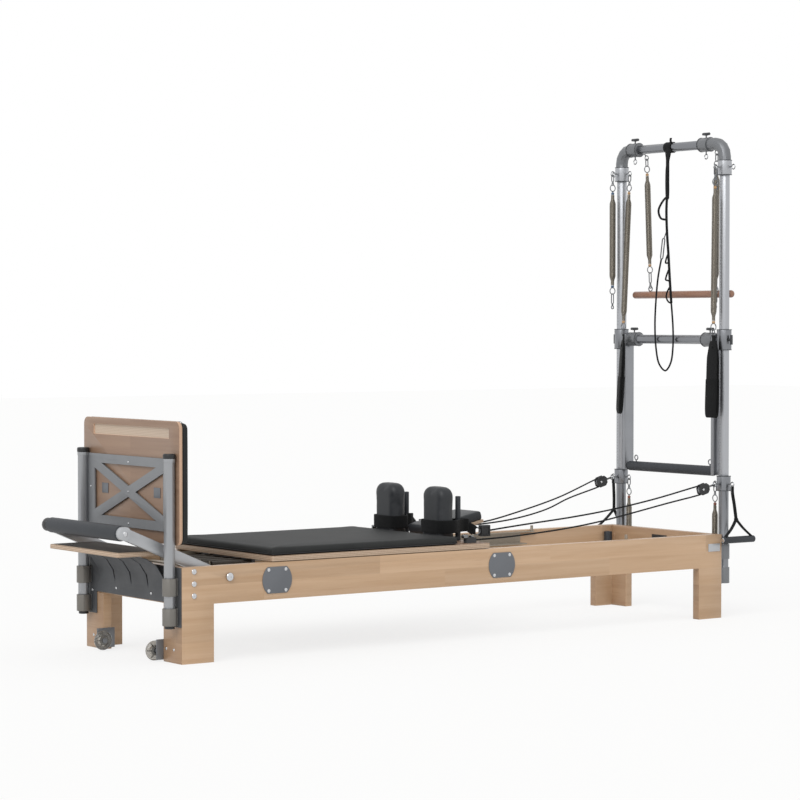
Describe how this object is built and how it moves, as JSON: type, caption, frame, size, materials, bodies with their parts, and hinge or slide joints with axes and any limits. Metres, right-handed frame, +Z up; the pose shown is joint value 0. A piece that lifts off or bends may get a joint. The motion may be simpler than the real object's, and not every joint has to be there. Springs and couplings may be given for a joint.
{
  "type": "pilates reformer with tower",
  "caption": "Wooden pilates reformer with a sliding carriage, footbar and jumpboard, and a tubular tower with springs, push-through bar and roll-down bar.",
  "frame": {"origin": "on the floor, under the middle of the box of everything but the two ropes", "axes": "+X from the foot end to the tower, +Y to the far side, +Z up"},
  "size_m": [2.962, 0.78, 2.005],
  "materials": {
    "beech": "clear satin lacquer",
    "plywood": "clear satin lacquer",
    "walnut_tone_wood": "clear satin lacquer",
    "vinyl": "matt grained upholstery vinyl",
    "grip_foam": "matt foam sleeve",
    "grey_tube": "satin grey powder coat",
    "grey_fitting": "satin grey powder coat",
    "dark_plate": "matt charcoal powder coat",
    "bare_aluminium": "satin anodised",
    "spring_steel": "bright drawn wire",
    "webbing": "woven",
    "rope": "braided",
    "black_plastic": "moulded",
    "clear_wheel": "translucent"
  },
  "bodies": {
    "bed": {"near_side_rail": "beech", "far_side_rail": "beech", "foot_end_board": "beech", "tower_end_board": "beech", "near_track": "bare_aluminium", "far_track": "bare_aluminium", "spring_bar": "bare_aluminium", "foot_end_plate": "dark_plate", "standing_platform": "plywood", "near_wheel_bracket": "grey_fitting", "far_wheel_bracket": "grey_fitting", "near_tower_mount": "grey_fitting", "far_tower_mount": "grey_fitting", "near_post": "grey_tube", "far_post": "grey_tube", "near_elbow": "grey_fitting", "far_elbow": "grey_fitting", "top_crossbar": "grey_tube"},
    "near_transport_wheel": {"near_wheel": "clear_wheel"},
    "far_transport_wheel": {"far_wheel": "clear_wheel"},
    "footbar": {"footbar_frame": "bare_aluminium", "footbar_grip": "grip_foam"},
    "jumpboard": {"jumpboard_frame": "grey_tube", "jumpboard_panel": "plywood", "jumpboard_pad": "vinyl"},
    "carriage": {"carriage_board": "plywood", "carriage_pad": "vinyl", "carriage_springs": "spring_steel", "near_rope": "rope", "far_rope": "rope"},
    "front_rollers": {"front_roller_axle": "bare_aluminium"},
    "rear_rollers": {"rear_roller_axle": "bare_aluminium"},
    "headrest": {"headrest_board": "plywood", "headrest_pad": "vinyl"},
    "near_rest": {"near_shoulder_rest": "vinyl", "near_shoulder_loop": "webbing"},
    "far_rest": {"far_shoulder_rest": "vinyl", "far_shoulder_loop": "webbing"},
    "slider": {"sliding_crossbar": "grey_fitting"},
    "push_through_bar": {"push_through_frame": "grey_tube", "push_through_grip": "grip_foam"},
    "near_arm_line": {"near_arm_spring": "spring_steel"},
    "far_arm_line": {"far_arm_spring": "spring_steel"},
    "near_leg_line": {"near_leg_spring": "spring_steel", "near_foot_strap": "webbing"},
    "far_leg_line": {"far_leg_spring": "spring_steel", "far_foot_strap": "webbing"},
    "roll_down": {"near_roll_spring": "spring_steel", "far_roll_spring": "spring_steel", "roll_down_bar": "walnut_tone_wood"},
    "near_push_line": {"near_push_spring": "spring_steel"},
    "far_push_line": {"far_push_spring": "spring_steel"},
    "near_pulley": {"near_pulley_block": "black_plastic"},
    "far_pulley": {"far_pulley_block": "black_plastic"},
    "near_pulley_wheel": {"near_sheave": "bare_aluminium"},
    "far_pulley_wheel": {"far_sheave": "bare_aluminium"},
    "near_grip": {"near_handle": "grip_foam"},
    "far_grip": {"far_handle": "grip_foam"},
    "safety_line": {"safety_strap": "webbing"}
  },
  "joints": [
    {"name": "carriage_slide", "type": "slide", "parent": "bed", "child": "carriage", "axis": [1, 0, 0], "range_m": [0, 0.69], "deforming": ["near_rope", "far_rope", "carriage_springs"]},
    {"name": "front_roller_spin", "type": "hinge", "parent": "carriage", "child": "front_rollers", "pos_m": [-0.788, 0, 0.3133], "axis": [0, 1, 0], "continuous": true},
    {"name": "rear_roller_spin", "type": "hinge", "parent": "carriage", "child": "rear_rollers", "pos_m": [0.044, 0, 0.3133], "axis": [0, 1, 0], "continuous": true},
    {"name": "headrest_tilt", "type": "hinge", "parent": "carriage", "child": "headrest", "pos_m": [0.042, 0, 0.376], "axis": [0, -1, 0], "range_deg": [-10, 15]},
    {"name": "near_rest_lift", "type": "slide", "parent": "carriage", "child": "near_rest", "axis": [0, 0, 1], "range_m": [0, 0.06]},
    {"name": "far_rest_lift", "type": "slide", "parent": "carriage", "child": "far_rest", "axis": [0, 0, 1], "range_m": [0, 0.06]},
    {"name": "footbar_swing", "type": "hinge", "parent": "bed", "child": "footbar", "pos_m": [-1.058, 0, 0.303], "axis": [0, 1, 0], "range_deg": [-1.5, 1.3]},
    {"name": "jumpboard_lift", "type": "slide", "parent": "bed", "child": "jumpboard", "axis": [0, 0, 1], "range_m": [0, 0.16]},
    {"name": "near_wheel_spin", "type": "hinge", "parent": "bed", "child": "near_transport_wheel", "pos_m": [-1.277, -0.187, 0.0373], "axis": [0, 1, 0], "continuous": true},
    {"name": "far_wheel_spin", "type": "hinge", "parent": "bed", "child": "far_transport_wheel", "pos_m": [-1.277, 0.187, 0.0373], "axis": [0, 1, 0], "continuous": true},
    {"name": "slider_lift", "type": "slide", "parent": "bed", "child": "slider", "axis": [0, 0, 1], "range_m": [0, 0.08]},
    {"name": "push_through_swing", "type": "hinge", "parent": "slider", "child": "push_through_bar", "pos_m": [1.364, 0, 1.146], "axis": [0, -1, 0], "range_deg": [0, 120]},
    {"name": "near_arm_swing", "type": "hinge", "parent": "bed", "child": "near_arm_line", "pos_m": [1.364, -0.272, 1.846], "axis": [0, 1, 0], "range_deg": [0, 60]},
    {"name": "far_arm_swing", "type": "hinge", "parent": "bed", "child": "far_arm_line", "pos_m": [1.312, 0.324, 1.85186], "axis": [0, 1, 0], "range_deg": [0, 60]},
    {"name": "near_leg_swing", "type": "hinge", "parent": "bed", "child": "near_leg_line", "pos_m": [1.312, -0.324, 1.85186], "axis": [0, 1, 0], "range_deg": [0, 70]},
    {"name": "far_leg_swing", "type": "hinge", "parent": "bed", "child": "far_leg_line", "pos_m": [1.364, 0.272, 1.846], "axis": [0, 1, 0], "range_deg": [0, 70]},
    {"name": "roll_down_swing", "type": "hinge", "parent": "bed", "child": "roll_down", "pos_m": [1.38809, 0, 1.91646], "axis": [0, -1, 0], "range_deg": [0, 60]},
    {"name": "near_push_swing", "type": "hinge", "parent": "bed", "child": "near_push_line", "pos_m": [1.364, -0.272, 0.54], "axis": [0, -1, 0], "range_deg": [0, 60]},
    {"name": "far_push_swing", "type": "hinge", "parent": "bed", "child": "far_push_line", "pos_m": [1.364, 0.272, 0.54], "axis": [0, -1, 0], "range_deg": [0, 60]},
    {"name": "near_pulley_swing", "type": "hinge", "parent": "bed", "child": "near_pulley", "pos_m": [1.312, -0.324, 0.55], "axis": [0, 1, 0], "range_deg": [-5, 5]},
    {"name": "far_pulley_swing", "type": "hinge", "parent": "bed", "child": "far_pulley", "pos_m": [1.312, 0.324, 0.55], "axis": [0, 1, 0], "range_deg": [-5, 5]},
    {"name": "near_sheave_spin", "type": "hinge", "parent": "near_pulley", "child": "near_pulley_wheel", "pos_m": [1.24442, -0.324, 0.53175], "axis": [0, 1, 0], "continuous": true},
    {"name": "far_sheave_spin", "type": "hinge", "parent": "far_pulley", "child": "far_pulley_wheel", "pos_m": [1.24442, 0.324, 0.53175], "axis": [0, 1, 0], "continuous": true},
    {"name": "near_handle_swing", "type": "hinge", "parent": "bed", "child": "near_grip", "pos_m": [1.364, -0.376, 0.54], "axis": [0, 1, 0], "range_deg": [-45, 45]},
    {"name": "far_handle_swing", "type": "hinge", "parent": "bed", "child": "far_grip", "pos_m": [1.364, 0.376, 0.54], "axis": [0, 1, 0], "range_deg": [-45, 45]},
    {"name": "safety_swing", "type": "hinge", "parent": "bed", "child": "safety_line", "pos_m": [1.364, 0, 1.955], "axis": [0, 1, 0], "range_deg": [0, 60]}
  ],
  "couplings": [
    {"joint": "front_roller_spin", "follows": "carriage_slide", "rad_per_m": 52.632},
    {"joint": "rear_roller_spin", "follows": "carriage_slide", "rad_per_m": 52.632}
  ]
}
